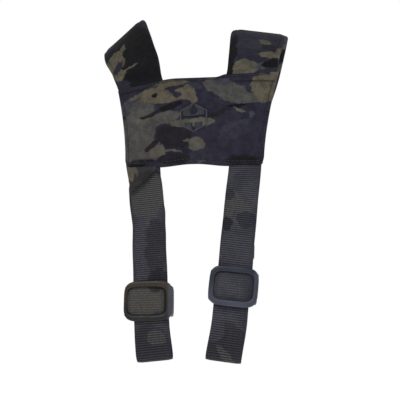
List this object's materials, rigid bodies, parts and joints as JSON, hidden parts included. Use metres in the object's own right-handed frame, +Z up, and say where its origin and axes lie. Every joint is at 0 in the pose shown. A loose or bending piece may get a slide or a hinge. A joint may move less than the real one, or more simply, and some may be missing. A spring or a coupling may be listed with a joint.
{
  "type": "chest rig back yoke harness",
  "caption": "Camouflage H-harness for a load carrier: a fabric back yoke with padded shoulder straps, lower webbing straps with sliders, and front side-release plugs.",
  "frame": {"origin": "middle of the yoke's flat inner face, which lies on the wearer's back", "axes": "+Z up along the wearer's spine, +Y from the yoke towards the wearer's chest, +X to the wearer's right"},
  "size_m": [0.1968, 0.1932, 0.3475],
  "materials": {
    "print_fabric": "printed nylon cloth in dark camouflage, plain weave, coated",
    "lining_fabric": "black spacer mesh lining",
    "closed_foam": "closed-cell foam sheet",
    "webbing": "ribbed nylon webbing with a faded camouflage print",
    "thread": "bonded nylon thread",
    "moulded_plastic": "black moulded acetal, fine texture"
  },
  "bodies": {
    "yoke": {"yoke_shell": "print_fabric", "yoke_foam": "closed_foam", "yoke_lining": "lining_fabric", "badge": "thread", "shoulder_bartack_left": "thread", "lower_bartack_left": "thread", "shoulder_bartack_right": "thread", "lower_bartack_right": "thread"},
    "shoulder_left": {"shoulder_shell_left": "print_fabric", "shoulder_foam_left": "closed_foam", "shoulder_lining_left": "lining_fabric", "front_web_left": "webbing"},
    "front_keeper_left": {"front_keeper_left": "moulded_plastic"},
    "buckle_left": {"buckle_body_left": "moulded_plastic"},
    "latch_arm_left_a": {"latch_arm_left_a": "moulded_plastic"},
    "latch_arm_left_b": {"latch_arm_left_b": "moulded_plastic"},
    "lower_left": {"lower_web_left": "webbing", "strap_cover_left": "print_fabric"},
    "slider_left": {"slider_left": "moulded_plastic"},
    "shoulder_right": {"shoulder_shell_right": "print_fabric", "shoulder_foam_right": "closed_foam", "shoulder_lining_right": "lining_fabric", "front_web_right": "webbing"},
    "front_keeper_right": {"front_keeper_right": "moulded_plastic"},
    "buckle_right": {"buckle_body_right": "moulded_plastic"},
    "latch_arm_right_a": {"latch_arm_right_a": "moulded_plastic"},
    "latch_arm_right_b": {"latch_arm_right_b": "moulded_plastic"},
    "lower_right": {"lower_web_right": "webbing"},
    "slider_right": {"slider_right": "moulded_plastic"}
  },
  "joints": [
    {"name": "shoulder_left_fold", "type": "hinge", "parent": "yoke", "child": "shoulder_left", "pos_m": [-0.0476, 0.00756, 0.0416], "axis": [0.9336, -0.3584, 0], "range_deg": [-30, 35]},
    {"name": "front_keeper_left_slide", "type": "slide", "parent": "shoulder_left", "child": "front_keeper_left", "axis": [-0.0378, 0.0197, 0.9991], "range_m": [-0.008, 0.02]},
    {"name": "buckle_left_swing", "type": "hinge", "parent": "shoulder_left", "child": "buckle_left", "pos_m": [-0.06458, 0.17702, -0.06202], "axis": [-0.996, -0.0799, -0.0389], "range_deg": [-60, 60]},
    {"name": "latch_arm_left_b_flex", "type": "hinge", "parent": "buckle_left", "child": "latch_arm_left_b", "pos_m": [-0.07648, 0.1758, -0.07609], "axis": [0.0792, -0.9967, 0.0193], "range_deg": [0, 8], "stiffness_Nm_per_rad": 0.02},
    {"name": "latch_arm_left_a_flex", "type": "hinge", "parent": "buckle_left", "child": "latch_arm_left_a", "pos_m": [-0.05158, 0.1778, -0.07512], "axis": [0.0792, -0.9967, 0.0193], "range_deg": [-8, 0], "stiffness_Nm_per_rad": 0.02},
    {"name": "lower_left_swing", "type": "hinge", "parent": "yoke", "child": "lower_left", "pos_m": [-0.0401, -0.00131, -0.0413], "axis": [0.9976, -0.0698, 0], "range_deg": [-55, 45]},
    {"name": "slider_left_slide", "type": "slide", "parent": "lower_left", "child": "slider_left", "axis": [-0.0604, 0, 0.9982], "range_m": [-0.012, 0.04]},
    {"name": "shoulder_right_fold", "type": "hinge", "parent": "yoke", "child": "shoulder_right", "pos_m": [0.0476, -0.00225, 0.04494], "axis": [0.9988, 0.0174, 0.0449], "range_deg": [-30, 35]},
    {"name": "front_keeper_right_slide", "type": "slide", "parent": "shoulder_right", "child": "front_keeper_right", "axis": [0.0476, 0.0197, 0.9987], "range_m": [-0.008, 0.02]},
    {"name": "buckle_right_swing", "type": "hinge", "parent": "shoulder_right", "child": "buckle_right", "pos_m": [0.03258, 0.17702, -0.06202], "axis": [-0.9958, 0.079, 0.0469], "range_deg": [-60, 60]},
    {"name": "latch_arm_right_b_flex", "type": "hinge", "parent": "buckle_right", "child": "latch_arm_right_b", "pos_m": [0.01947, 0.17778, -0.07502], "axis": [-0.0781, -0.9967, 0.0199], "range_deg": [0, 8], "stiffness_Nm_per_rad": 0.02},
    {"name": "latch_arm_right_a_flex", "type": "hinge", "parent": "buckle_right", "child": "latch_arm_right_a", "pos_m": [0.04437, 0.17581, -0.07619], "axis": [-0.0781, -0.9967, 0.0199], "range_deg": [-8, 0], "stiffness_Nm_per_rad": 0.02},
    {"name": "lower_right_swing", "type": "hinge", "parent": "yoke", "child": "lower_right", "pos_m": [0.0401, -0.00131, -0.0413], "axis": [0.9976, 0.0698, 0], "range_deg": [-55, 45]},
    {"name": "slider_right_slide", "type": "slide", "parent": "lower_right", "child": "slider_right", "axis": [0.1222, 0, 0.9925], "range_m": [-0.012, 0.04]}
  ],
  "couplings": [
    {"joint": "latch_arm_left_a_flex", "follows": "latch_arm_left_b_flex", "ratio": -1},
    {"joint": "latch_arm_right_a_flex", "follows": "latch_arm_right_b_flex", "ratio": -1}
  ]
}
